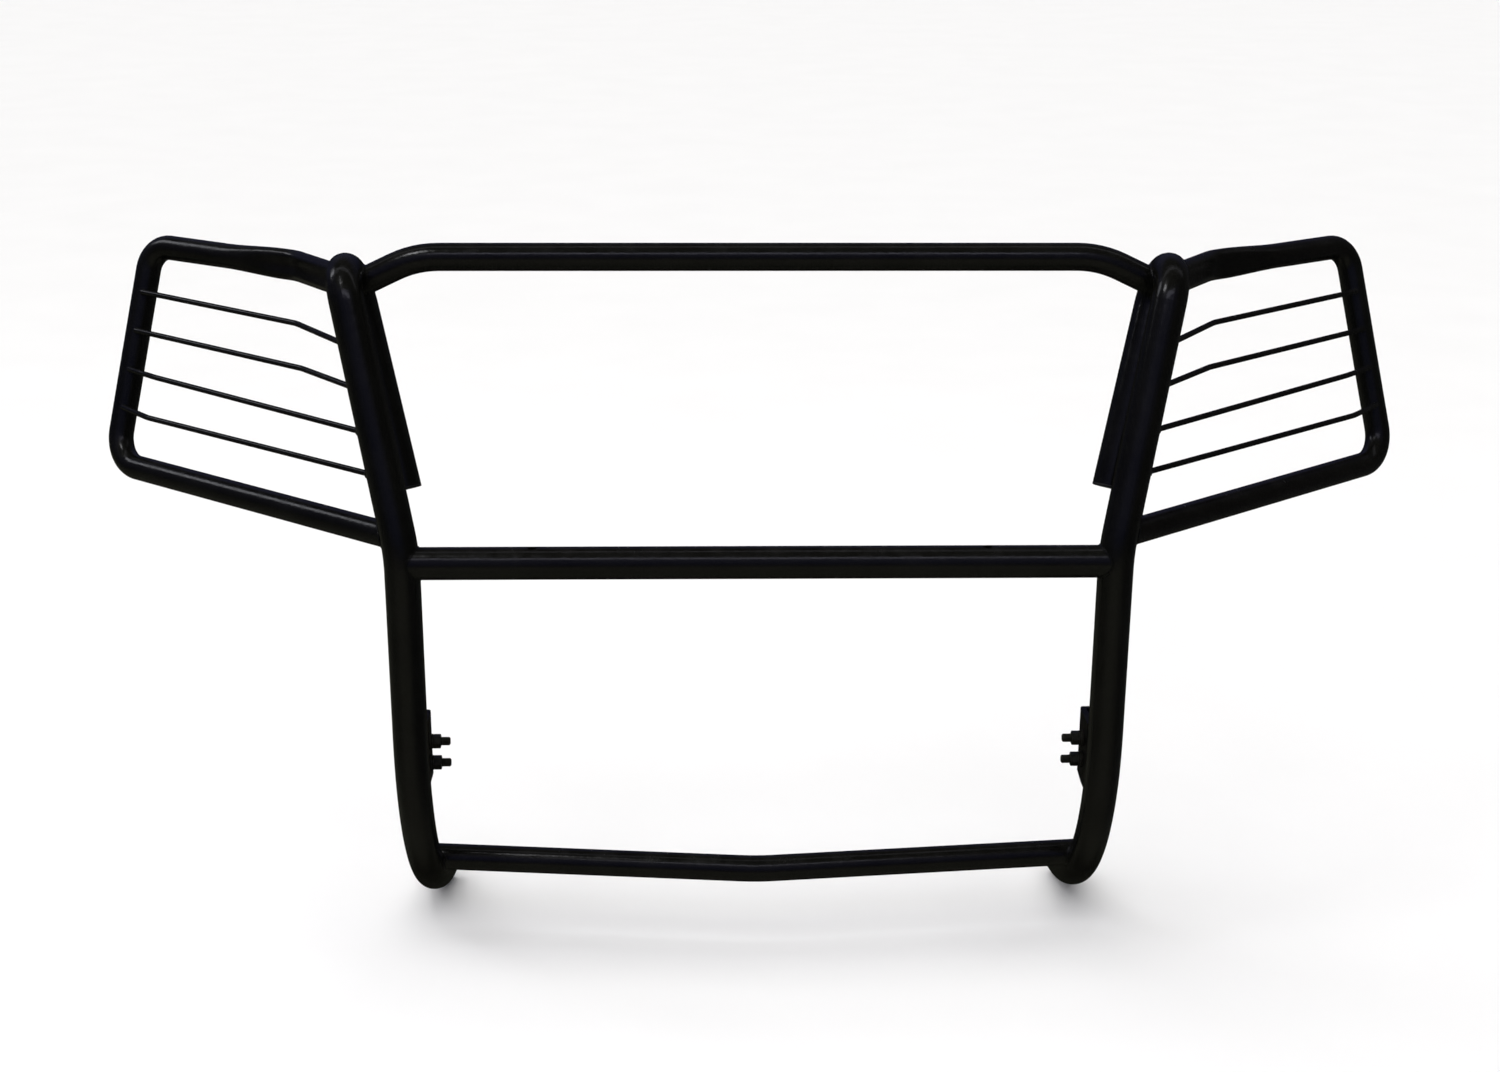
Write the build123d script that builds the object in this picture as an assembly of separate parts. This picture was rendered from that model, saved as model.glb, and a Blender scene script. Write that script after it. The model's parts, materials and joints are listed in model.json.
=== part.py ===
"""Front grille guard for a pickup truck: a welded frame of bent steel tubes with two bolt-on brackets.

All sizes are in millimetres. X runs across the vehicle, Y runs backwards towards the vehicle, Z is up.
The shapes are drawn with the middle crossbar's centre as the zero point, and every piece is moved at the
end, so that the origin is in the middle of the guard's footprint, level with its lowest point.
"left" and "right" are as a person standing in front of the vehicle sees them.
"""

from build123d import *
from math import cos, pi, radians, sin, tan
import os

# Tube and rod stock
LEG_DIAMETER = 48.3
LEG_WALL = 3.0
MIDDLE_BAR_DIAMETER = 44.5
CROSSBAR_DIAMETER = 38.1
CROSSBAR_WALL = 2.5
GUARD_DIAMETER = 36.0
GUARD_WALL = 2.0
ROD_DIAMETER = 8.0

# Upright tubes
LEG_HALF_SPACING = 481.0
KINK_HEIGHT = 15.0
KINK_RADIUS = 150.0
UPPER_LEG_RISE = 319.0
UPPER_LEG_LEAN_OUT = 70.0
UPPER_LEG_LEAN_BACK = 99.0
HOOK_SPACING = 96.6
HOOK_BEND_RADIUS = 46.8
REAR_LEG_LENGTH = 253.0
REAR_LEG_TOE_IN = 6.5
FOOT_BEND_TOP = -252.0
FOOT_RADIUS = 344.0
FOOT_ANGLE = 77.0
FOOT_END_STRAIGHT = 25.0

# Crossbars
TOP_BAR_DEPTH = 159.0
TOP_BAR_HEIGHT = 384.5
TOP_BAR_BEND_X = 466.0
TOP_BAR_END_X = 551.0
TOP_BAR_END_ANGLE = 25.5
TOP_BAR_BEND_RADIUS = 140.0
BOTTOM_BAR_DEPTH = 125.0
BOTTOM_BAR_HEIGHT = -498.0
BOTTOM_BAR_FORWARD = 49.0
BOTTOM_BAR_BEND_RADIUS = 220.0
LIGHT_HOLE_HALF_SPACING = 306.0
LIGHT_HOLE_DIAMETER = 13.0

# Headlight guards: corner points of one U-shaped tube
GUARD_BOTTOM_HEIGHT = 34.5
GUARD_TOP_HEIGHT = 343.5
GUARD_BOTTOM_CORNER = (950.0, 366.0)
GUARD_TOP_CORNER = (891.5, 453.0)
GUARD_TOP_KINK = (652.5, 302.0)
GUARD_TOP_END = (556.0, 150.0, 350.0)
GUARD_BOTTOM_RADIUS = 50.0
GUARD_TOP_RADIUS = 36.0
GUARD_KINK_RADIUS = 60.0

# Crushed end of a headlight guard tube: stations are shares of the length and of the full crush
SQUEEZED_HEIGHT = 44.0
SQUEEZED_WIDTH = 27.0
SQUEEZE_LENGTH = 130.0
SQUEEZE_STATIONS = ((0.0, 0.0), (0.25, 0.1), (0.5, 0.5), (0.75, 0.9), (1.0, 1.0))
CRUSH_DEPTH = 5.0
CRUSH_REACH = 0.75
SECTION_POINTS = 24

# Rods of a headlight guard: height, and the point where the rod is bent
ROD_BENDS = (
    (281.5, (641.0, 208.0)),
    (227.0, (630.0, 169.0)),
    (172.0, (875.5, 336.0)),
    (118.0, (883.5, 310.0)),
)
ROD_BEND_RADIUS = 45.0
ROD_WELD_SINK = 1.5
ROD_LEG_OFFSET = 12.0
ROD_LEG_DROP = 3.0

# End caps
CAP_HEAD_THICKNESS = 3.0
CAP_PLUG_LENGTH = 14.0
CAP_PLUG_WALL = 2.5
CAP_CLEARANCE = 0.2

# Mounting lugs and frame brackets
LUG_THICKNESS = 10.0
LUG_BACK = 116.0
PLATE_TOP = -267.0
PLATE_BOTTOM = -387.0
PLATE_CORNER = 10.0
BRACKET_THICKNESS = 8.0
BRACKET_FRONT = 64.0
BRACKET_BACK = 129.0
BRACKET_WIDTH = 50.0
BRACKET_BEND_RADIUS = 5.0
BRACKET_CHAMFER = (7.0, 22.0)
FRAME_SLOT_LENGTH = 26.0
FRAME_SLOT_WIDTH = 13.5
FRAME_SLOT_SPACING = 60.0
FRAME_SLOT_FROM_EDGE = 20.0

# M12 fasteners that hold a bracket on its lug
BOLT_DEPTH = 98.0
BOLT_HEIGHTS = (-303.0, -336.0)
BOLT_DIAMETER = 12.0
BOLT_LENGTH = 50.0
BOLT_HOLE_DIAMETER = 13.0
BOLT_TIP_CHAMFER = 1.5
HEX_ACROSS_FLATS = 18.0
BOLT_HEAD_HEIGHT = 7.5
NUT_HEIGHT = 10.8
HEX_CORNER_BEVEL = 0.8
WASHER_DIAMETER = 24.0
WASHER_THICKNESS = 2.5
LOCK_WASHER_DIAMETER = 21.0
LOCK_WASHER_THICKNESS = 2.7
LOCK_WASHER_SLOT = 2.0
LOCK_WASHER_SLOT_ANGLE = 30.0
FASTENER_PLAY = 0.1

# Directions that the upper part of the right upright sets
UPPER_LEG = Vector(UPPER_LEG_LEAN_OUT, UPPER_LEG_LEAN_BACK, UPPER_LEG_RISE).normalized()
HOOK_BACK = (Vector(0, 1, 0) - UPPER_LEG * UPPER_LEG.Y).normalized()
KINK = Vector(LEG_HALF_SPACING, 0, KINK_HEIGHT)


def swept_bar(points, bend_radii, radius):
    """Solid round bar along straight runs joined by tangent arcs."""
    if bend_radii:
        path = FilletPolyline(*points, radius=bend_radii)
    else:
        path = Line(*points)
    section = Plane(origin=path @ 0, z_dir=path % 0) * Circle(radius)
    return sweep(section, path=path)


def swept_tube(points, bend_radii, diameter, wall):
    """Round tube along straight runs joined by tangent arcs."""
    outside = swept_bar(points, bend_radii, diameter / 2)
    inside = swept_bar(points, bend_radii, diameter / 2 - wall)
    return outside - inside


def largest_solid(shape):
    """The main solid that is left after a cut."""
    return max(shape.solids(), key=lambda solid: solid.volume)


def mirrored(shape):
    """The left-hand copy of a right-hand piece."""
    return mirror(shape, about=Plane.YZ)


def upper_leg_axis(height):
    """Point on the axis of the right front leg above the kink."""
    return KINK + UPPER_LEG * ((height - KINK_HEIGHT) / UPPER_LEG.Z)


def upright_points():
    """Corner points of the right upright, from the end of its foot to the end of its rear leg."""
    foot_tangent = FOOT_RADIUS * tan(radians(FOOT_ANGLE / 2))
    foot_corner = Vector(LEG_HALF_SPACING, 0, FOOT_BEND_TOP - foot_tangent)
    foot_direction = Vector(0, sin(radians(FOOT_ANGLE)), -cos(radians(FOOT_ANGLE)))
    foot_end = foot_corner + foot_direction * (foot_tangent + FOOT_END_STRAIGHT)
    hook_radius = HOOK_SPACING / 2
    hook_front = upper_leg_axis(KINK_HEIGHT + UPPER_LEG_RISE) + UPPER_LEG * hook_radius
    hook_rear = hook_front + HOOK_BACK * HOOK_SPACING
    rear_end = hook_rear - UPPER_LEG * (hook_radius + REAR_LEG_LENGTH)
    hook_rear += Vector(REAR_LEG_TOE_IN / 2, 0, 0)
    rear_end -= Vector(REAR_LEG_TOE_IN / 2, 0, 0)
    return [foot_end, foot_corner, KINK, hook_front, hook_rear, rear_end]


def upright_radii():
    """Bend radii at the inner corner points of an upright."""
    return [FOOT_RADIUS, KINK_RADIUS, HOOK_BEND_RADIUS, HOOK_BEND_RADIUS]


def upright_core():
    """Filled outer shape of the right upright, which cuts the ends of the pieces that are welded to it."""
    return swept_bar(upright_points(), upright_radii(), LEG_DIAMETER / 2)


def upright_tube():
    """Right upright: foot, front leg, hook and rear leg in one bent tube."""
    return swept_tube(upright_points(), upright_radii(), LEG_DIAMETER, LEG_WALL)


def end_cap(tube_end, inner_point):
    """Plastic plug with a flat head that closes the end of an upright tube."""
    outward = (tube_end - inner_point).normalized()
    face = Plane(origin=tube_end, z_dir=outward)
    plug_radius = LEG_DIAMETER / 2 - LEG_WALL - CAP_CLEARANCE
    head = extrude(face * Circle(LEG_DIAMETER / 2), CAP_HEAD_THICKNESS)
    head = fillet(head.edges().sort_by(Axis(tube_end, outward))[-1], CAP_HEAD_THICKNESS / 2)
    plug = extrude(face * (Circle(plug_radius) - Circle(plug_radius - CAP_PLUG_WALL)), -CAP_PLUG_LENGTH)
    return head + plug


def middle_crossbar():
    """Straight tube between the front legs, drilled for two auxiliary lights."""
    ends = [Vector(-LEG_HALF_SPACING, 0, 0), Vector(LEG_HALF_SPACING, 0, 0)]
    bar = swept_tube(ends, None, MIDDLE_BAR_DIAMETER, CROSSBAR_WALL)
    for side in (-1, 1):
        hole = Pos(side * LIGHT_HOLE_HALF_SPACING, 0, 0) * Circle(LIGHT_HOLE_DIAMETER / 2)
        bar -= extrude(hole, MIDDLE_BAR_DIAMETER, both=True)
    return bar


def top_bar_points():
    """Corner points of the top crossbar, whose ends bend down to the hooks."""
    drop = (TOP_BAR_END_X - TOP_BAR_BEND_X) * tan(radians(TOP_BAR_END_ANGLE))
    end_height = TOP_BAR_HEIGHT - drop
    return [
        Vector(-TOP_BAR_END_X, TOP_BAR_DEPTH, end_height),
        Vector(-TOP_BAR_BEND_X, TOP_BAR_DEPTH, TOP_BAR_HEIGHT),
        Vector(TOP_BAR_BEND_X, TOP_BAR_DEPTH, TOP_BAR_HEIGHT),
        Vector(TOP_BAR_END_X, TOP_BAR_DEPTH, end_height),
    ]


def bottom_crossbar():
    """Tube between the feet, bowed forwards to a shallow point in the middle."""
    points = [
        Vector(-LEG_HALF_SPACING, BOTTOM_BAR_DEPTH, BOTTOM_BAR_HEIGHT),
        Vector(0, BOTTOM_BAR_DEPTH - BOTTOM_BAR_FORWARD, BOTTOM_BAR_HEIGHT),
        Vector(LEG_HALF_SPACING, BOTTOM_BAR_DEPTH, BOTTOM_BAR_HEIGHT),
    ]
    return swept_tube(points, [BOTTOM_BAR_BEND_RADIUS], CROSSBAR_DIAMETER, CROSSBAR_WALL)


def crushed_section(plane, radius, inset, share):
    """Tube section: round at share 0, a squeezed oval with one side pressed in at share 1."""
    half_height = radius + share * (SQUEEZED_HEIGHT / 2 - inset - radius)
    half_width = radius + share * (SQUEEZED_WIDTH / 2 - inset - radius)
    if share == 0:
        return plane * Circle(radius)
    crush_reach = CRUSH_REACH * half_height
    points = []
    for step in range(SECTION_POINTS):
        angle = 2 * pi * step / SECTION_POINTS
        height = half_height * cos(angle)
        width = half_width * sin(angle)
        if width < 0 and abs(height) < crush_reach:
            width += share * CRUSH_DEPTH * (1 - (height / crush_reach) ** 2) ** 2
        points.append((height, width))
    return plane * make_face(Spline(*points, periodic=True))


def guard_body(inset):
    """Filled shape of the right headlight guard tube, or of its hollow when inset is the wall."""
    radius = GUARD_DIAMETER / 2 - inset
    start = upper_leg_axis(GUARD_BOTTOM_HEIGHT)
    start = Vector(start.X, start.Y, GUARD_BOTTOM_HEIGHT)
    bottom_corner = Vector(*GUARD_BOTTOM_CORNER, GUARD_BOTTOM_HEIGHT)
    top_corner = Vector(*GUARD_TOP_CORNER, GUARD_TOP_HEIGHT)
    kink = Vector(*GUARD_TOP_KINK, GUARD_TOP_HEIGHT)
    end = Vector(*GUARD_TOP_END)
    inward = (kink - top_corner).normalized()
    final = (end - kink).normalized()
    half_turn = radians(inward.get_angle(final)) / 2
    bend_start = kink - inward * (GUARD_KINK_RADIUS * tan(half_turn))
    round_end = bend_start - inward * SQUEEZE_LENGTH
    bend_axis = inward.cross(final).normalized()

    # Round part: bottom limb, outer tube and most of the top limb
    round_points = [start, bottom_corner, top_corner, round_end]
    round_part = swept_bar(round_points, [GUARD_BOTTOM_RADIUS, GUARD_TOP_RADIUS], radius)

    # The tube was crushed where it was bent towards the hook: tall, narrow, and pressed in on the inner side
    def section(origin, direction, share):
        plane = Plane(origin=origin, x_dir=bend_axis, z_dir=direction)
        return crushed_section(plane, radius, inset, share)

    stations = [(round_end + inward * SQUEEZE_LENGTH * at, share) for at, share in SQUEEZE_STATIONS]
    squeeze = loft([section(origin, inward, share) for origin, share in stations])
    bend_centre = bend_start + bend_axis.cross(inward) * GUARD_KINK_RADIUS
    crushed = section(bend_start, inward, 1.0)
    bend = revolve(crushed, Axis(bend_centre, bend_axis), inward.get_angle(final))
    bend_end = kink + final * (GUARD_KINK_RADIUS * tan(half_turn))
    last_run = extrude(section(bend_end, final, 1.0), (end - bend_end).length)
    return round_part + squeeze + bend + last_run


def guard_outer_axis(height):
    """Point on the axis of the right headlight guard's outer tube."""
    share = (height - GUARD_BOTTOM_HEIGHT) / (GUARD_TOP_HEIGHT - GUARD_BOTTOM_HEIGHT)
    bottom = Vector(*GUARD_BOTTOM_CORNER, GUARD_BOTTOM_HEIGHT)
    top = Vector(*GUARD_TOP_CORNER, GUARD_TOP_HEIGHT)
    return bottom + (top - bottom) * share


def rod(height, bend_point):
    """Right-hand rod, which rises slightly from the front leg and lies on the front of the outer tube."""
    leg_point = upper_leg_axis(height) - Vector(0, ROD_LEG_OFFSET, ROD_LEG_DROP)
    in_front = Vector(0, GUARD_DIAMETER / 2 + ROD_DIAMETER / 2 - ROD_WELD_SINK, 0)
    outer_point = guard_outer_axis(height) - in_front
    points = [leg_point, Vector(*bend_point, height), outer_point]
    return swept_bar(points, [ROD_BEND_RADIUS], ROD_DIAMETER / 2)


def x_plane(x, depth, height):
    """Plane that faces inwards, towards the middle of the vehicle, at a point of the right-hand side."""
    return Plane(origin=(x, depth, height), x_dir=(0, 1, 0), z_dir=(-1, 0, 0))


def x_cylinder(x_from, x_to, depth, height, diameter):
    """Round bar across the vehicle between two X positions."""
    return extrude(x_plane(x_from, depth, height) * Circle(diameter / 2), x_from - x_to)


def bolt_holes(x_from, x_to):
    """Both holes of one side, as solids to cut away."""
    return [x_cylinder(x_from, x_to, BOLT_DEPTH, height, BOLT_HOLE_DIAMETER) for height in BOLT_HEIGHTS]


LUG_OUTER_X = LEG_HALF_SPACING + LUG_THICKNESS / 2
LUG_INNER_X = LEG_HALF_SPACING - LUG_THICKNESS / 2
BRACKET_INNER_X = LUG_INNER_X - BRACKET_THICKNESS


def mounting_lug():
    """Right-hand plate behind the front leg, welded along its front edge."""
    height = PLATE_TOP - PLATE_BOTTOM
    centre = Vector(LEG_HALF_SPACING, LUG_BACK / 2, (PLATE_TOP + PLATE_BOTTOM) / 2)
    lug = Pos(centre) * Box(LUG_THICKNESS, LUG_BACK, height)
    rear_corners = lug.edges().filter_by(Axis.X).group_by(Axis.Y)[-1]
    lug = fillet(rear_corners, PLATE_CORNER)
    for hole in bolt_holes(LUG_OUTER_X, LUG_INNER_X):
        lug -= hole
    return lug


def frame_bracket():
    """Right-hand angle bracket: one flange on the lug, the other across the back with two slots."""
    inner = BRACKET_INNER_X
    outline = Polyline(
        (inner, BRACKET_FRONT),
        (inner, BRACKET_BACK),
        (inner + BRACKET_WIDTH, BRACKET_BACK),
        (inner + BRACKET_WIDTH, BRACKET_BACK - BRACKET_THICKNESS),
        (inner + BRACKET_THICKNESS, BRACKET_BACK - BRACKET_THICKNESS),
        (inner + BRACKET_THICKNESS, BRACKET_FRONT),
        close=True,
    )
    profile = make_face(outline)
    height = PLATE_TOP - PLATE_BOTTOM
    bracket = Pos(0, 0, PLATE_BOTTOM) * extrude(profile, height)
    upright_edges = bracket.edges().filter_by(Axis.Z)
    outer_bend = upright_edges.sort_by_distance((inner, BRACKET_BACK, PLATE_BOTTOM + height / 2))[0]
    bracket = fillet(outer_bend, BRACKET_BEND_RADIUS)
    run, rise = BRACKET_CHAMFER
    corner = Polyline(
        (inner, PLATE_BOTTOM),
        (inner + run, PLATE_BOTTOM),
        (inner, PLATE_BOTTOM + rise),
        close=True,
    )
    corner_plane = Plane(origin=(0, 0, 0), x_dir=(1, 0, 0), z_dir=(0, -1, 0))
    bracket -= extrude(corner_plane * make_face(corner), 2 * BRACKET_BACK, both=True)
    for hole in bolt_holes(inner + BRACKET_THICKNESS, inner):
        bracket -= hole
    slot_x = inner + BRACKET_WIDTH - FRAME_SLOT_FROM_EDGE
    for offset in (-FRAME_SLOT_SPACING / 2, FRAME_SLOT_SPACING / 2):
        slot_centre = (slot_x, BRACKET_BACK, (PLATE_TOP + PLATE_BOTTOM) / 2 + offset)
        slot_plane = Plane(origin=slot_centre, x_dir=(0, 0, 1), z_dir=(0, -1, 0))
        slot = slot_plane * SlotOverall(FRAME_SLOT_LENGTH, FRAME_SLOT_WIDTH)
        bracket -= extrude(slot, BRACKET_THICKNESS)
    return bracket


def hex_prism(x_from, thickness, height):
    """Hexagonal block with bevelled corners, across the vehicle."""
    circumradius = HEX_ACROSS_FLATS / 2 / cos(radians(30))
    plane = x_plane(x_from, BOLT_DEPTH, height)
    block = extrude(plane * RegularPolygon(circumradius, 6), thickness)
    round_blank = extrude(plane * Circle(circumradius), thickness)
    round_blank = chamfer(round_blank.edges().filter_by(GeomType.CIRCLE), HEX_CORNER_BEVEL)
    return block & round_blank


def washer(x_from, thickness, diameter, height):
    """Flat ring whose outer face is at x_from."""
    ring = x_cylinder(x_from, x_from - thickness, BOLT_DEPTH, height, diameter)
    return ring - x_cylinder(x_from, x_from - thickness, BOLT_DEPTH, height, BOLT_HOLE_DIAMETER)


def bolt(height):
    """Hexagon bolt with its head on the outer side of the lug."""
    under_head = LUG_OUTER_X + WASHER_THICKNESS
    tip = under_head - BOLT_LENGTH
    shank = x_cylinder(under_head, tip, BOLT_DEPTH, height, BOLT_DIAMETER)
    tip_edge = shank.edges().filter_by(GeomType.CIRCLE).sort_by(Axis.X)[0]
    shank = chamfer(tip_edge, BOLT_TIP_CHAMFER)
    return shank + hex_prism(under_head + BOLT_HEAD_HEIGHT, BOLT_HEAD_HEIGHT, height)


def lock_washer(height):
    """Spring lock washer with a slanted split."""
    outer_face = BRACKET_INNER_X - WASHER_THICKNESS
    inner_face = outer_face - LOCK_WASHER_THICKNESS
    ring = x_cylinder(outer_face, inner_face, BOLT_DEPTH, height, LOCK_WASHER_DIAMETER)
    ring -= x_cylinder(outer_face, inner_face, BOLT_DEPTH, height, BOLT_DIAMETER + 2 * FASTENER_PLAY)
    middle = ((outer_face + inner_face) / 2, BOLT_DEPTH, height + LOCK_WASHER_DIAMETER / 2)
    split = Box(3 * LOCK_WASHER_THICKNESS, LOCK_WASHER_SLOT, LOCK_WASHER_DIAMETER)
    return ring - Pos(middle) * Rot(0, 0, LOCK_WASHER_SLOT_ANGLE) * split


def nut(height):
    """Hexagon nut that clamps the bracket."""
    outer_face = BRACKET_INNER_X - WASHER_THICKNESS - LOCK_WASHER_THICKNESS
    block = hex_prism(outer_face, NUT_HEIGHT, height)
    bore = x_cylinder(outer_face, outer_face - NUT_HEIGHT, BOLT_DEPTH, height, BOLT_DIAMETER)
    return block - bore


def both_sides(name, right_piece):
    """Named left and right copies of a piece."""
    return {"left_" + name: mirrored(right_piece), "right_" + name: right_piece}


def group(solids):
    """Several separate solids that share one node."""
    return Compound(children=[solid for item in solids for solid in item.solids()])


def build_pieces():
    """Every piece by its node name, drawn round the middle crossbar's centre."""
    pieces = {}
    core = upright_core()
    both_cores = [core, mirrored(core)]
    points = upright_points()
    pieces.update(both_sides("upright_tube", upright_tube()))
    pieces.update(both_sides("rear_leg_end_cap", end_cap(points[-1], points[-2])))
    pieces.update(both_sides("foot_end_cap", end_cap(points[0], points[1])))

    top_radii = [TOP_BAR_BEND_RADIUS] * 2
    top_core = swept_bar(top_bar_points(), top_radii, CROSSBAR_DIAMETER / 2)
    crossbars = {
        "top_crossbar": swept_tube(top_bar_points(), top_radii, CROSSBAR_DIAMETER, CROSSBAR_WALL),
        "middle_crossbar": middle_crossbar(),
        "bottom_crossbar": bottom_crossbar(),
    }
    for name, bar in crossbars.items():
        for leg in both_cores:
            bar = bar - leg
        pieces[name] = largest_solid(bar)

    guard_core = guard_body(0.0)
    guard = guard_core - guard_body(GUARD_WALL) - core - top_core
    pieces.update(both_sides("headlight_guard_tube", largest_solid(guard)))
    for number, (height, bend_point) in enumerate(ROD_BENDS, start=1):
        trimmed = largest_solid(rod(height, bend_point) - core - guard_core)
        pieces.update(both_sides("headlight_rod_" + str(number), trimmed))

    pieces.update(both_sides("mounting_lug", largest_solid(mounting_lug() - core)))
    pieces.update(both_sides("frame_bracket", frame_bracket()))

    nut_side_washer = BRACKET_INNER_X
    head_side_washer = LUG_OUTER_X + WASHER_THICKNESS
    washers = [
        washer(x_from, WASHER_THICKNESS, WASHER_DIAMETER, height)
        for height in BOLT_HEIGHTS
        for x_from in (nut_side_washer, head_side_washer)
    ]
    pieces.update(both_sides("bracket_bolts", group([bolt(height) for height in BOLT_HEIGHTS])))
    pieces.update(both_sides("bracket_flat_washers", group(washers)))
    pieces.update(both_sides("bracket_lock_washers", group([lock_washer(h) for h in BOLT_HEIGHTS])))
    pieces.update(both_sides("bracket_nuts", group([nut(height) for height in BOLT_HEIGHTS])))
    return pieces


def main():
    os.makedirs("parts", exist_ok=True)
    pieces = build_pieces()
    box = Compound(children=[solid for piece in pieces.values() for solid in piece.solids()]).bounding_box()
    shift = Vector(0, -(box.min.Y + box.max.Y) / 2, -box.min.Z)
    print("shift to the footprint's middle:", shift)
    print("overall size:", box.size)
    for name, piece in pieces.items():
        solids = [solid.moved(Location(shift)) for solid in piece.solids()]
        shape = solids[0] if len(solids) == 1 else Compound(children=solids)
        export_step(shape, os.path.join("parts", name + ".step"))


main()
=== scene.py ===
"""Looks of a front grille guard: powder coat, plated fasteners, plastic caps, weld beads and a plain studio.

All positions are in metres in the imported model's frame: X across the vehicle, Y backwards towards the
vehicle, Z up, with the origin on the floor in the middle of the guard's footprint.
"""

import json
import math

import bmesh
import bpy
from mathutils import Matrix, Vector
from mathutils.bvhtree import BVHTree


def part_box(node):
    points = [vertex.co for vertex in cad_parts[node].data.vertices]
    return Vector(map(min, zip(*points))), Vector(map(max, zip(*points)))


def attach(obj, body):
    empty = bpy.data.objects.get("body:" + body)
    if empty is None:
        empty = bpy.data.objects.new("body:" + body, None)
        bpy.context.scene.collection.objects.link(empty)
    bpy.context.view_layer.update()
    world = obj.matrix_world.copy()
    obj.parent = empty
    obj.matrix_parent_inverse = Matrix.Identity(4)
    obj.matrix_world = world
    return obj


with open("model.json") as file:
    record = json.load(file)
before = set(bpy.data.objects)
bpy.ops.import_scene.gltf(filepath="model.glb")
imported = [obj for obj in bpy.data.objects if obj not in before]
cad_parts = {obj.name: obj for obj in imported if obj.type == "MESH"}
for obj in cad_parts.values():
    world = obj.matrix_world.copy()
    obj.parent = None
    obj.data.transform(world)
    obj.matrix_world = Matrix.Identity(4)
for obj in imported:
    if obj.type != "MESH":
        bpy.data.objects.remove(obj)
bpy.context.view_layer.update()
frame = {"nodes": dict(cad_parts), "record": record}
nodes = frame["nodes"]

SIDES = ("left", "right")
MILLIMETRE = 0.001

# Camera: where it stands and how it is turned, in metres and degrees
CAMERA_PLACE = Vector((-0.0831, -2.9843, 1.5828))
CAMERA_DOWN = 18.56
CAMERA_TURN = -1.43
CAMERA_ROLL = 0.27
CAMERA_LENS = 52.21
CAMERA_SENSOR = 36.0

# Weld beads: leg length of the fillet and distance from one ripple to the next
TUBE_WELD_LEG = 2.6 * MILLIMETRE
TUBE_WELD_PITCH = 2.4 * MILLIMETRE
MIDDLE_WELD_LEG = 1.7 * MILLIMETRE
ROD_WELD_LEG = 3.0 * MILLIMETRE
ROD_WELD_PITCH = 2.2 * MILLIMETRE
STEPS_PER_RIPPLE = 5
FEWEST_RIPPLES = 8
BEAD_ANGLES = [math.radians(value) for value in (-28, 0, 20, 40, 60, 80, 98, 122)]
BEAD_ROOT = 0.2

# Contact faces: how near and how squarely a face meets another, and how the outline round them is cleaned
CONTACT_REACH = 0.45 * MILLIMETRE
CONTACT_FACING = -0.6
MERGE_DISTANCE = 0.002 * MILLIMETRE
SHORTEST_LOOP = 6
FEWEST_SAMPLES = 24
SMOOTHING_ROUNDS = 3

# Tint of the powder coat's body, a slightly olive black
WARM = (1.0, 0.98, 0.82)

# Powder coat: share and tone of the dust and painted sheen on top, of the specks, and heights of the bumps
DUST_AND_SHEEN_SHARE = 0.08
DUST_AND_SHEEN_TONE = 0.06
SPECK_SHARE = 0.07
SPECK_TONE = 0.03
LUMP_HEIGHT = 0.35 * MILLIMETRE
SKIN_HEIGHT = 0.10 * MILLIMETRE

# Bolts: pitch, depth and outer radius of the thread, and the distance between the two bolts of a side
THREAD_PITCH = 1.75 * MILLIMETRE
THREAD_DEPTH = 0.9 * MILLIMETRE
THREAD_RADIUS = 6.3 * MILLIMETRE
BOLT_SPACING = 33.0 * MILLIMETRE

# Studio: half width and tones of the floor, radius and tone of the backdrop
FLOOR_HALF = 40.0
FLOOR_TONES = (0.885, 0.9)
FLOOR_DROP = 0.5 * MILLIMETRE
BACKDROP_RADIUS = 38.0
BACKDROP_TONE = 0.97

# Surroundings that mirror in the coat, from straight down (0) over the horizon (0.5) to straight up (1)
SURROUNDINGS = (
    (0.0, (0.100, 0.100, 0.077, 1.0)),
    (0.36, (0.152, 0.152, 0.118, 1.0)),
    (0.46, (0.050, 0.050, 0.055, 1.0)),
    (0.60, (0.050, 0.056, 0.130, 1.0)),
    (0.79, (0.120, 0.122, 0.220, 1.0)),
    (0.88, (0.060, 0.060, 0.053, 1.0)),
    (1.0, (0.062, 0.062, 0.054, 1.0)),
)
RIGHT_SIDE_TONE = 0.032

# Soft key from above left: strength and angular size in degrees
MIDDLE = (0.0, 0.0, 0.5)
KEY_STRENGTH = 3.55
KEY_ANGLE = 110

# Area lamps: name, place, target, watts, colour and the two edges in metres
LAMPS = (
    ("overhead_strip", (0.0, 0.35, 3.2), (0.0, 0.35, 0.0), 4.0, (0.92, 0.92, 1.0), (7.0, 0.35)),
    ("front_strip", (0.0, -2.5, 3.0), MIDDLE, 5.0, (0.84, 0.84, 1.0), (2.2, 0.5)),
    ("high_glint", (-1.3, -1.1, 3.1), MIDDLE, 7.0, (0.96, 0.97, 1.0), (0.5, 0.5)),
    ("left_box", (-3.2, 0.8, 2.9), MIDDLE, 6.5, (0.93, 0.95, 1.0), (0.7, 1.2)),
)


def add(tree, kind, inputs=None, **settings):
    """Adds a shader node, sets its properties, and fills or links its inputs."""
    item = tree.nodes.new(kind)
    for name, value in settings.items():
        setattr(item, name, value)
    for key, value in (inputs or {}).items():
        if isinstance(value, bpy.types.NodeSocket):
            tree.links.new(value, item.inputs[key])
        else:
            item.inputs[key].default_value = value
    return item


def math_node(tree, operation, first, second=0.0, third=0.0):
    """Result of one Math node."""
    return add(tree, "ShaderNodeMath", {0: first, 1: second, 2: third}, operation=operation).outputs[0]


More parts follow.
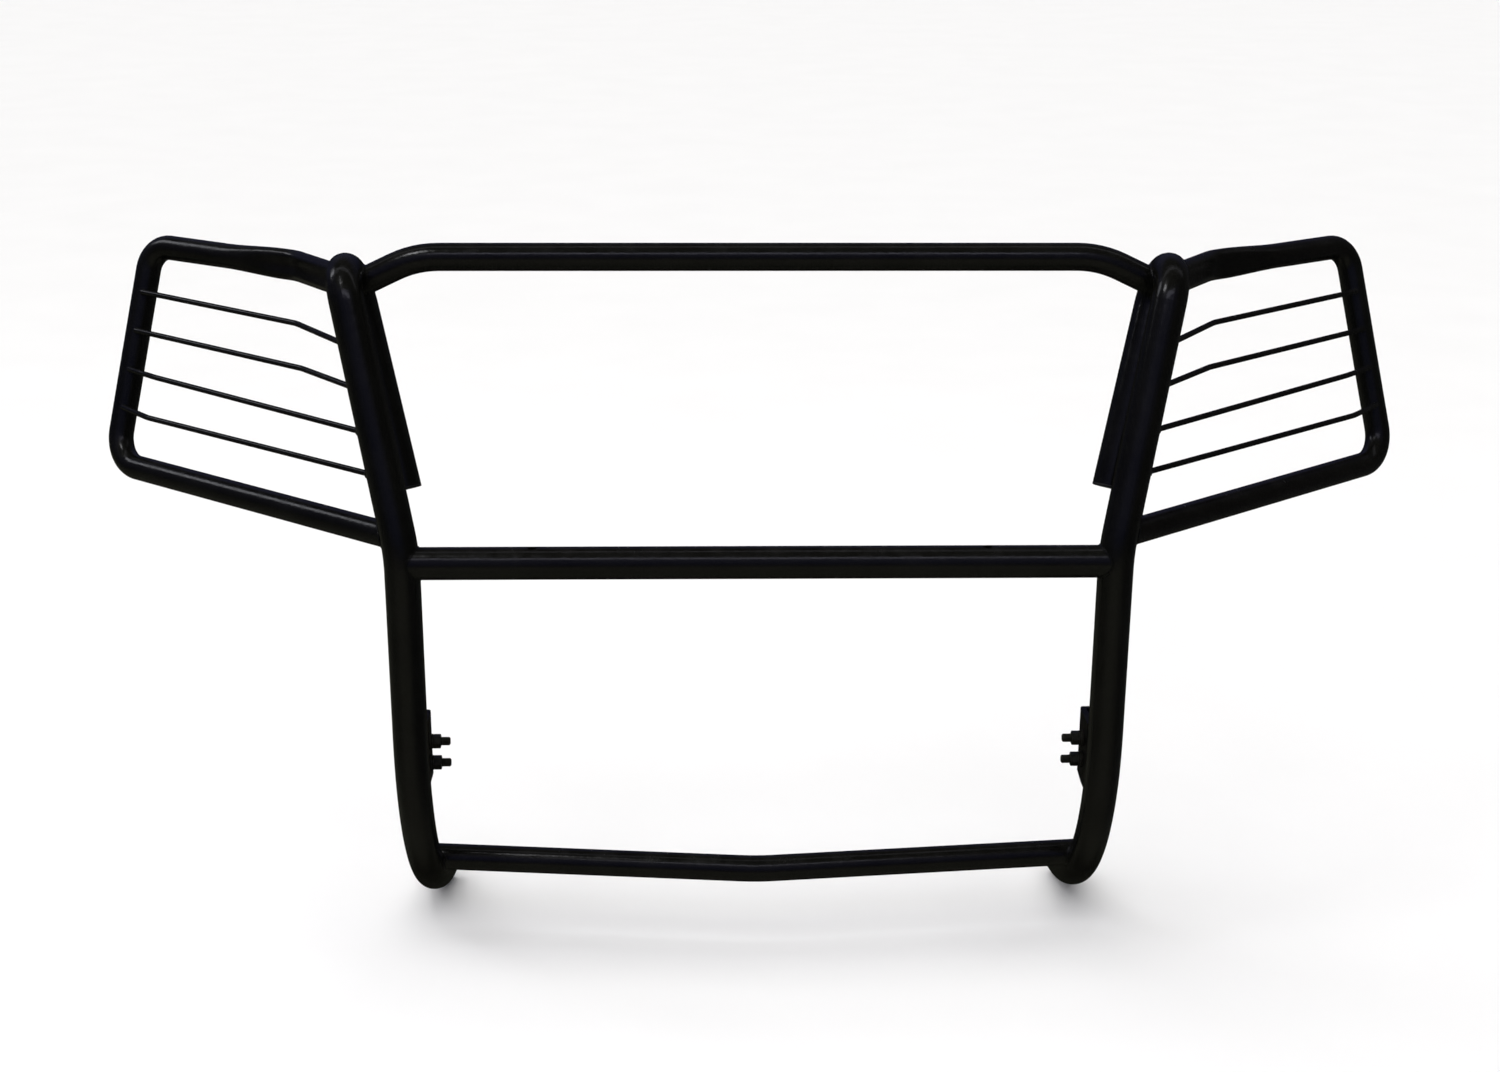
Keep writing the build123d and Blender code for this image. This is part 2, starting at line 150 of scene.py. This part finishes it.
def noise(tree, place, scale, detail=2.0, roughness=0.5):
    """Value of a noise texture, around 0.5; scale is in features for each metre."""
    inputs = {"Vector": place, "Scale": scale, "Detail": detail, "Roughness": roughness}
    return add(tree, "ShaderNodeTexNoise", inputs).outputs[0]


def map_range(tree, value, low, high, to_low, to_high):
    """Value moved from one range to another and kept inside it."""
    inputs = {"Value": value, "From Min": low, "From Max": high, "To Min": to_low, "To Max": to_high}
    return add(tree, "ShaderNodeMapRange", inputs, clamp=True).outputs[0]


def spread(tree, value, to_low, to_high):
    """Noise, which mostly stays between 0.3 and 0.7, spread over a range."""
    return map_range(tree, value, 0.3, 0.7, to_low, to_high)


def mix_colour(tree, share, first, second):
    """Colour between two colours."""
    mixer = add(tree, "ShaderNodeMix", data_type="RGBA")
    for socket, value in ((mixer.inputs[0], share), (mixer.inputs[6], first), (mixer.inputs[7], second)):
        if isinstance(value, bpy.types.NodeSocket):
            tree.links.new(value, socket)
        else:
            socket.default_value = value
    return mixer.outputs[2]


def bump(tree, height, distance, before=None):
    """Normal from a height between 0 and 1 and its distance in metres, on top of an earlier bump."""
    inputs = {"Height": height, "Distance": distance, "Strength": 1.0}
    if before is not None:
        inputs["Normal"] = before
    return add(tree, "ShaderNodeBump", inputs).outputs[0]


def grey(value, tint=(1.0, 1.0, 1.0)):
    """Colour with full alpha."""
    return (value * tint[0], value * tint[1], value * tint[2], 1.0)


def new_material(name):
    """New node material with its tree, its Principled shader and object coordinates."""
    material = bpy.data.materials.new(name)
    material.use_nodes = True
    tree = material.node_tree
    place = add(tree, "ShaderNodeTexCoord").outputs["Object"]
    return material, tree, tree.nodes["Principled BSDF"], place


def connect(tree, shader, colour=None, roughness=None, normal=None):
    """Links the three inputs that vary over the surface."""
    for name, value in (("Base Color", colour), ("Roughness", roughness), ("Normal", normal)):
        if value is not None:
            tree.links.new(value, shader.inputs[name])


def upward_share(tree):
    """1 on surfaces that face up, 0 on the rest."""
    normal = add(tree, "ShaderNodeNewGeometry").outputs["Normal"]
    upward = add(tree, "ShaderNodeSeparateXYZ", {0: normal}).outputs["Z"]
    return map_range(tree, upward, 0.35, 1.0, 0.0, 1.0)


def powder_coat(name, tone, roughness, peel, shine=0.42):
    """Black powder coat: cloudy tone, light specks, uneven gloss, orange peel, and dust with a painted sheen
    on top.
    """
    material, tree, shader, place = new_material(name)
    clouds = spread(tree, noise(tree, place, 14.0, 3.0), 0.0, 1.0)
    colour = mix_colour(tree, clouds, grey(tone * 0.7, WARM), grey(tone * 1.3, WARM))
    specks = add(tree, "ShaderNodeTexVoronoi", {"Vector": place, "Scale": 170.0}).outputs["Distance"]
    speck_share = map_range(tree, specks, 0.05, 0.12, SPECK_SHARE, 0.0)
    patches = map_range(tree, noise(tree, place, 30.0, 4.0, 0.65), 0.45, 0.75, 0.0, 1.0)
    # Lighter film on faces that look up: partly dust, partly a painted sheen that stands in for the sky's
    # reflection on the tops
    dust_and_sheen = math_node(tree, "MULTIPLY", upward_share(tree), math_node(tree, "MULTIPLY", patches, DUST_AND_SHEEN_SHARE))
    colour = mix_colour(tree, dust_and_sheen, colour, grey(DUST_AND_SHEEN_TONE, (1.0, 0.97, 0.9)))
    colour = mix_colour(tree, math_node(tree, "MULTIPLY", speck_share, patches), colour, grey(SPECK_TONE))
    wear = spread(tree, noise(tree, place, 48.0, 4.0, 0.6), roughness - 0.06, roughness + 0.09)
    rough = math_node(tree, "ADD", wear, math_node(tree, "MULTIPLY", dust_and_sheen, 0.8))
    lumps = bump(tree, noise(tree, place, 110.0), LUMP_HEIGHT * peel)
    skin = bump(tree, noise(tree, place, 420.0), SKIN_HEIGHT * peel, before=lumps)
    connect(tree, shader, colour, rough, skin)
    shader.inputs["Specular IOR Level"].default_value = shine
    return material


def black_zinc(name, tone, roughness, threaded):
    """Black zinc plating: dark stained metal, with a thread on the bolts' shanks where asked for."""
    material, tree, shader, place = new_material(name)
    shader.inputs["Metallic"].default_value = 0.75
    stain = spread(tree, noise(tree, place, 160.0, 4.0, 0.6), 0.0, 1.0)
    dark = grey(tone * 0.7, (1.0, 0.96, 0.7))
    light = grey(tone * 1.4, (1.0, 0.98, 0.78))
    colour = mix_colour(tree, stain, dark, light)
    rough = spread(tree, noise(tree, place, 420.0, 3.0), roughness - 0.08, roughness + 0.1)
    normal = bump(tree, noise(tree, place, 900.0), 0.05 * MILLIMETRE)
    if threaded:
        normal = bump(tree, thread_height(tree, place), THREAD_DEPTH, before=normal)
    connect(tree, shader, colour, rough, normal)
    return material


def thread_height(tree, place):
    """Triangular screw thread round both bolt axes of a side, 0 away from the shanks."""
    low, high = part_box("left_bracket_bolts")
    axis_y = (low.y + high.y) / 2
    middle_z = (low.z + high.z) / 2
    across, depth, height = add(tree, "ShaderNodeSeparateXYZ", {0: place}).outputs
    y = math_node(tree, "SUBTRACT", depth, axis_y)
    folded = math_node(tree, "WRAP", height, middle_z, middle_z + BOLT_SPACING)
    z = math_node(tree, "SUBTRACT", folded, middle_z + BOLT_SPACING / 2)
    turn = math_node(tree, "DIVIDE", math_node(tree, "ARCTAN2", z, y), 2 * math.pi)
    travel = math_node(tree, "DIVIDE", across, THREAD_PITCH)
    ridge = math_node(tree, "PINGPONG", math_node(tree, "ADD", travel, turn), 0.5)
    square = math_node(tree, "ADD", math_node(tree, "MULTIPLY", y, y), math_node(tree, "MULTIPLY", z, z))
    radius = math_node(tree, "SQRT", square)
    on_shank = math_node(tree, "LESS_THAN", radius, THREAD_RADIUS)
    return math_node(tree, "MULTIPLY", ridge, on_shank)


def cap_plastic(name):
    """Fine-grained black polyethylene."""
    material, tree, shader, place = new_material(name)
    blotches = noise(tree, place, 90.0, 3.0)
    colour = mix_colour(tree, spread(tree, blotches, 0.0, 1.0), grey(0.004), grey(0.008))
    rough = spread(tree, blotches, 0.5, 0.62)
    grain = add(tree, "ShaderNodeTexVoronoi", {"Vector": place, "Scale": 1400.0}).outputs["Distance"]
    connect(tree, shader, colour, rough, bump(tree, grain, 0.08 * MILLIMETRE))
    return material


MATERIALS = {
    "frame_powder_coat": powder_coat("frame_powder_coat", 0.0021, 0.18, 0.8),
    "bracket_powder_coat": powder_coat("bracket_powder_coat", 0.0016, 0.34, 1.0, 0.2),
    "black_zinc_fastener": black_zinc("black_zinc_fastener", 0.026, 0.42, True),
    "black_zinc_washer": black_zinc("black_zinc_washer", 0.026, 0.4, False),
    "cap_plastic": cap_plastic("cap_plastic"),
}
WELD_COAT = powder_coat("weld_powder_coat", 0.0015, 0.22, 1.0)


def paint_nodes():
    """Gives every CAD node the material of its slot in the record."""
    for item in frame["record"]["subparts"]:
        mesh = nodes[item["node"]].data
        mesh.materials.clear()
        mesh.materials.append(MATERIALS[item["material_slot"]])


def surface_tree(names):
    """Search tree over the surfaces of several CAD nodes."""
    points = []
    faces = []
    for name in names:
        start = len(points)
        mesh = nodes[name].data
        points.extend(vertex.co.copy() for vertex in mesh.vertices)
        faces.extend([start + index for index in polygon.vertices] for polygon in mesh.polygons)
    return BVHTree.FromPolygons(points, faces)


def lies_on(face, tree):
    """True where a face lies on the surface in the tree and looks into it."""
    for vertex in face.verts:
        if tree.find_nearest(vertex.co, CONTACT_REACH)[0] is None:
            return False
    hit = tree.find_nearest(face.calc_center_median())
    return hit[1].dot(face.normal) < CONTACT_FACING


def walk_loops(edges):
    """Closed chains of vertices along a set of edges."""
    beside = {}
    for edge in edges:
        for vertex, other in (edge.verts, reversed(edge.verts)):
            beside.setdefault(vertex, []).append(other)
    loops = []
    unused = {vertex for vertex, others in beside.items() if len(others) == 2}
    for first in sorted(unused, key=lambda vertex: vertex.index):
        if first not in unused:
            continue
        chain = [first]
        unused.discard(first)
        while True:
            following = [other for other in beside[chain[-1]] if other in unused]
            if not following:
                break
            chain.append(following[0])
            unused.discard(following[0])
        if len(chain) >= SHORTEST_LOOP:
            loops.append(chain)
    return loops


def weld_outlines(child, parents):
    """Outer outlines of the faces with which a node sits on others: points with both surfaces' normals."""
    tree = surface_tree(parents)
    body = bmesh.new()
    body.from_mesh(nodes[child].data)
    bmesh.ops.remove_doubles(body, verts=body.verts, dist=MERGE_DISTANCE)
    body.verts.index_update()
    resting = {face for face in body.faces if lies_on(face, tree)}
    rims = [
        edge for edge in body.edges
        if len(edge.link_faces) == 2 and sum(face in resting for face in edge.link_faces) == 1
    ]
    outlines = []
    for chain in walk_loops(rims):
        centre = sum((vertex.co for vertex in chain), Vector()) / len(chain)
        outline = []
        outwardness = 0.0
        for vertex in chain:
            sides = [
                face.normal for edge in vertex.link_edges for face in edge.link_faces
                if face not in resting
            ]
            side = sum(sides, Vector()).normalized()
            base = tree.find_nearest(vertex.co)[1]
            outline.append((vertex.co.copy(), side, base.copy()))
            outwardness += (vertex.co - centre).dot(side)
        if outwardness > 0:
            outlines.append(outline)
    body.free()
    return outlines


def resample(outline, step):
    """The same outline with evenly spaced, smoothed points, and its length."""
    count = len(outline)
    lengths = [(outline[(i + 1) % count][0] - outline[i][0]).length for i in range(count)]
    total = sum(lengths)
    samples = max(FEWEST_SAMPLES, round(total / step))
    result = []
    index = 0
    walked = 0.0
    for number in range(samples):
        target = total * number / samples
        while walked + lengths[index] < target:
            walked += lengths[index]
            index += 1
        share = (target - walked) / max(lengths[index], 1e-9)
        first, second = outline[index], outline[(index + 1) % count]
        result.append(tuple(a.lerp(b, share) for a, b in zip(first, second)))
    for _ in range(SMOOTHING_ROUNDS):
        result = [
            tuple((before * 0.25 + here * 0.5 + after * 0.25)
                  for before, here, after in zip(result[i - 1], result[i], result[(i + 1) % samples]))
            for i in range(samples)
        ]
    return result, total


def make_bead(name, outline, leg, pitch):
    """Rippled convex fillet bead round an outline, as a closed ring that rides with the frame."""
    rings, total = resample(outline, pitch / STEPS_PER_RIPPLE)
    ripples = max(FEWEST_RIPPLES, round(total / pitch))
    vertices = []
    for number, (point, side, base) in enumerate(rings):
        side = side.normalized()
        base = (base - side * base.dot(side)).normalized()
        along = number / len(rings)
        waver = 1.0 + 0.06 * math.sin(along * 14 * math.pi + 1.3) + 0.05 * math.sin(along * 34 * math.pi)
        for angle in BEAD_ANGLES:
            inside = min(max(angle, 0.0), math.pi / 2)
            crescent = 0.3 * math.sin(2 * inside)
            scallop = abs(math.sin(math.pi * (along * ripples + crescent)))
            flat = 1.0 / (math.cos(inside) + math.sin(inside))
            reach = leg * waver * (0.45 + 0.55 * flat) * (0.9 + 0.14 * scallop ** 0.7)
            vertices.append(point + side * (reach * math.cos(angle)) + base * (reach * math.sin(angle)))
        vertices.append(point - (side + base) * leg * BEAD_ROOT)
    width = len(BEAD_ANGLES) + 1
    faces = []
    for i in range(len(rings)):
        here, there = i * width, (i + 1) % len(rings) * width
        for j in range(width):
            k = (j + 1) % width
            faces.append((here + j, there + j, there + k, here + k))
    mesh = bpy.data.meshes.new(name)
    mesh.from_pydata(vertices, [], faces)
    body = bmesh.new()
    body.from_mesh(mesh)
    bmesh.ops.recalc_face_normals(body, faces=body.faces)
    body.to_mesh(mesh)
    body.free()
    mesh.shade_smooth()
    mesh.materials.append(WELD_COAT)
    piece = bpy.data.objects.new(name, mesh)
    bpy.context.scene.collection.objects.link(piece)
    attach(piece, "root")


def weld(child, parents, leg, pitch):
    """Beads round every place where a node sits on the parents."""
    for number, outline in enumerate(weld_outlines(child, parents), start=1):
        make_bead(f"{child}_on_{parents[0]}_weld_{number}", outline, leg, pitch)


def make_welds():
    """All weld beads of the guard."""
    for side in SIDES:
        upright = f"{side}_upright_tube"
        guard = f"{side}_headlight_guard_tube"
        weld("top_crossbar", [upright], TUBE_WELD_LEG, TUBE_WELD_PITCH)
        weld("middle_crossbar", [upright], MIDDLE_WELD_LEG, TUBE_WELD_PITCH)
        weld("bottom_crossbar", [upright], TUBE_WELD_LEG, TUBE_WELD_PITCH)
        weld(guard, [upright, "top_crossbar"], TUBE_WELD_LEG, TUBE_WELD_PITCH)
        weld(f"{side}_mounting_lug", [upright], TUBE_WELD_LEG, TUBE_WELD_PITCH)
        for number in range(1, 5):
            rod = f"{side}_headlight_rod_{number}"
            weld(rod, [upright], ROD_WELD_LEG, ROD_WELD_PITCH)
            weld(rod, [guard], ROD_WELD_LEG, ROD_WELD_PITCH)


def make_floor():
    """Plain pale floor, which isn't part of the object and doesn't mirror in its coat."""
    material, tree, shader, place = new_material("studio_floor")
    tone = spread(tree, noise(tree, place, 3.0, 3.0), 0.0, 1.0)
    connect(tree, shader, mix_colour(tree, tone, grey(FLOOR_TONES[0]), grey(FLOOR_TONES[1])))
    shader.inputs["Roughness"].default_value = 0.9
    shader.inputs["Specular IOR Level"].default_value = 0.1
    mesh = bpy.data.meshes.new("studio_floor")
    half = FLOOR_HALF
    corners = [(-half, -half, 0), (half, -half, 0), (half, half, 0), (-half, half, 0)]
    mesh.from_pydata(corners, [], [(0, 1, 2, 3)])
    mesh.materials.append(material)
    floor = bpy.data.objects.new("studio_floor", mesh)
    bpy.context.scene.collection.objects.link(floor)
    floor.location.z = -FLOOR_DROP
    floor.visible_glossy = False


def make_backdrop():
    """Pale surround that only the camera sees, so that low views end in the floor's tone."""
    material = bpy.data.materials.new("studio_backdrop")
    material.use_nodes = True
    tree = material.node_tree
    tree.nodes.remove(tree.nodes["Principled BSDF"])
    glow = add(tree, "ShaderNodeEmission", {"Color": grey(BACKDROP_TONE), "Strength": 1.0})
    tree.links.new(glow.outputs[0], tree.nodes["Material Output"].inputs["Surface"])
    body = bmesh.new()
    bmesh.ops.create_icosphere(body, subdivisions=4, radius=BACKDROP_RADIUS)
    mesh = bpy.data.meshes.new("studio_backdrop")
    body.to_mesh(mesh)
    body.free()
    mesh.materials.append(material)
    backdrop = bpy.data.objects.new("studio_backdrop", mesh)
    bpy.context.scene.collection.objects.link(backdrop)
    backdrop.visible_glossy = False
    backdrop.visible_diffuse = False
    backdrop.visible_shadow = False


def make_world():
    """Soft surroundings: a cool band in front, an olive floor and ceiling, and a darker rear and sides."""
    world = bpy.data.worlds.new("studio_world")
    world.use_nodes = True
    tree = world.node_tree
    direction = add(tree, "ShaderNodeTexCoord").outputs["Generated"]
    across, along, height = add(tree, "ShaderNodeSeparateXYZ", {0: direction}).outputs
    ramp = add(tree, "ShaderNodeValToRGB", {0: map_range(tree, height, -1.0, 1.0, 0.0, 1.0)})
    stops = ramp.color_ramp.elements
    stops[0].position, stops[0].color = SURROUNDINGS[0]
    stops[1].position, stops[1].color = SURROUNDINGS[-1]
    for position, colour in SURROUNDINGS[1:-1]:
        stops.new(position).color = colour
    right_side = map_range(tree, across, 0.25, 0.75, 0.0, 1.0)
    colour = mix_colour(tree, right_side, ramp.outputs[0], grey(RIGHT_SIDE_TONE))
    left_side = map_range(tree, across, -0.85, -0.4, 0.4, 1.0)
    off_centre = map_range(tree, math_node(tree, "ABSOLUTE", across), 0.35, 0.75, 0.0, 1.2)
    rear_low = math_node(tree, "MAXIMUM", map_range(tree, height, -0.1, 0.3, 0.12, 0.6), off_centre)
    rear = map_range(tree, along, -0.05, 0.3, 1.0, rear_low)
    background = tree.nodes["Background"]
    tree.links.new(colour, background.inputs["Color"])
    tree.links.new(math_node(tree, "MULTIPLY", left_side, rear), background.inputs["Strength"])
    bpy.context.scene.world = world


def make_light(name, kind, place, target, energy, colour):
    """Lamp that looks from a place to a target."""
    lamp = bpy.data.lights.new(name, kind)
    lamp.energy = energy
    lamp.color = colour
    item = bpy.data.objects.new(name, lamp)
    item.location = place
    item.rotation_euler = (Vector(target) - Vector(place)).to_track_quat("-Z", "Y").to_euler()
    bpy.context.scene.collection.objects.link(item)
    return item


def make_lights():
    """Broad soft key that doesn't mirror in the coat, and area lamps that draw the highlights."""
    key = make_light("key", "SUN", (-1.2, -0.5, 4.0), MIDDLE, KEY_STRENGTH, (1.0, 0.99, 0.97))
    key.data.angle = math.radians(KEY_ANGLE)
    key.visible_glossy = False
    for name, place, target, energy, colour, size in LAMPS:
        lamp = make_light(name, "AREA", place, target, energy, colour).data
        lamp.shape = "RECTANGLE"
        lamp.size, lamp.size_y = size


def make_camera():
    """Camera at the height and angle from which the guard is seen."""
    lens = bpy.data.cameras.new("camera")
    lens.sensor_width = CAMERA_SENSOR
    lens.lens = CAMERA_LENS
    item = bpy.data.objects.new("camera", lens)
    tilt = math.radians(90 - CAMERA_DOWN)
    turn = math.radians(CAMERA_TURN)
    roll = math.radians(CAMERA_ROLL)
    rotation = Matrix.Rotation(turn, 4, "Z") @ Matrix.Rotation(tilt, 4, "X") @ Matrix.Rotation(roll, 4, "Z")
    item.matrix_world = Matrix.Translation(CAMERA_PLACE) @ rotation
    bpy.context.scene.collection.objects.link(item)
    bpy.context.scene.camera = item


paint_nodes()
make_welds()
make_floor()
make_backdrop()
make_world()
make_lights()
make_camera()
bpy.context.scene.view_settings.view_transform = "Standard"
